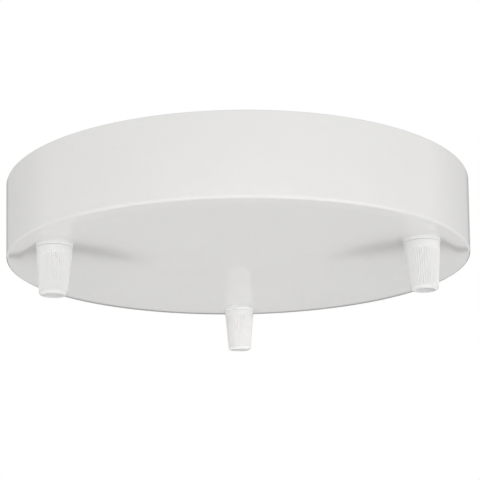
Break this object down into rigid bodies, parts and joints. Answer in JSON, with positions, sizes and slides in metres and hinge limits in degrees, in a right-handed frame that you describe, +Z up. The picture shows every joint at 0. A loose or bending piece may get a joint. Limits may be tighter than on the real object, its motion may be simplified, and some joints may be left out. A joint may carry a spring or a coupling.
{
  "type": "ceiling rose",
  "caption": "Round white ceiling rose with screw-down cord grips near its edge, a slotted steel ceiling strap and a terminal block inside.",
  "frame": {"origin": "centre of the ceiling plane, in the top face of the strap between its two screw slots", "axes": "+Z up into the ceiling, X along the strap, +Y towards the outlet that stands alone"},
  "size_m": [0.152, 0.152, 0.0408],
  "materials": {
    "canopy_plastic": "white moulded, gloss",
    "grip_plastic": "white moulded, half gloss",
    "plated_steel": "bright zinc plated",
    "screw_steel": "bright zinc plated",
    "terminal_brass": "drawn, plain",
    "block_plastic": "natural polyamide, matt"
  },
  "bodies": {
    "root": {"canopy": "canopy_plastic", "mounting_strap": "plated_steel", "side_screw_left": "screw_steel", "side_screw_right": "screw_steel", "terminal_block": "block_plastic", "terminal_barrel_1": "terminal_brass", "terminal_barrel_2": "terminal_brass", "terminal_barrel_3": "terminal_brass", "terminal_screws": "screw_steel", "block_screws": "screw_steel", "grip_stem_back": "grip_plastic", "lock_nut_back": "grip_plastic", "grip_stem_left": "grip_plastic", "lock_nut_left": "grip_plastic", "grip_stem_right": "grip_plastic", "lock_nut_right": "grip_plastic"},
    "ring_back": {"clamp_ring_back": "grip_plastic"},
    "cap_back": {"grip_cap_back": "grip_plastic"},
    "ring_left": {"clamp_ring_left": "grip_plastic"},
    "cap_left": {"grip_cap_left": "grip_plastic"},
    "ring_right": {"clamp_ring_right": "grip_plastic"},
    "cap_right": {"grip_cap_right": "grip_plastic"}
  },
  "joints": [
    {"name": "grip_travel_back", "type": "slide", "parent": "root", "child": "ring_back", "axis": [0, 0, -1], "range_m": [0, 0.00375]},
    {"name": "grip_turn_back", "type": "hinge", "parent": "ring_back", "child": "cap_back", "pos_m": [0, 0.06399, -0.03], "axis": [0, 0, -1], "range_deg": [0, 1082]},
    {"name": "grip_travel_left", "type": "slide", "parent": "root", "child": "ring_left", "axis": [0, 0, -1], "range_m": [0, 0.00375]},
    {"name": "grip_turn_left", "type": "hinge", "parent": "ring_left", "child": "cap_left", "pos_m": [-0.05542, -0.032, -0.03], "axis": [0, 0, -1], "range_deg": [0, 1082]},
    {"name": "grip_travel_right", "type": "slide", "parent": "root", "child": "ring_right", "axis": [0, 0, -1], "range_m": [0, 0.00375]},
    {"name": "grip_turn_right", "type": "hinge", "parent": "ring_right", "child": "cap_right", "pos_m": [0.05542, -0.032, -0.03], "axis": [0, 0, -1], "range_deg": [0, 1082]}
  ],
  "couplings": [
    {"joint": "grip_turn_back", "follows": "grip_travel_back", "rad_per_m": 5026.5},
    {"joint": "grip_turn_left", "follows": "grip_travel_left", "rad_per_m": 5026.5},
    {"joint": "grip_turn_right", "follows": "grip_travel_right", "rad_per_m": 5026.5}
  ]
}
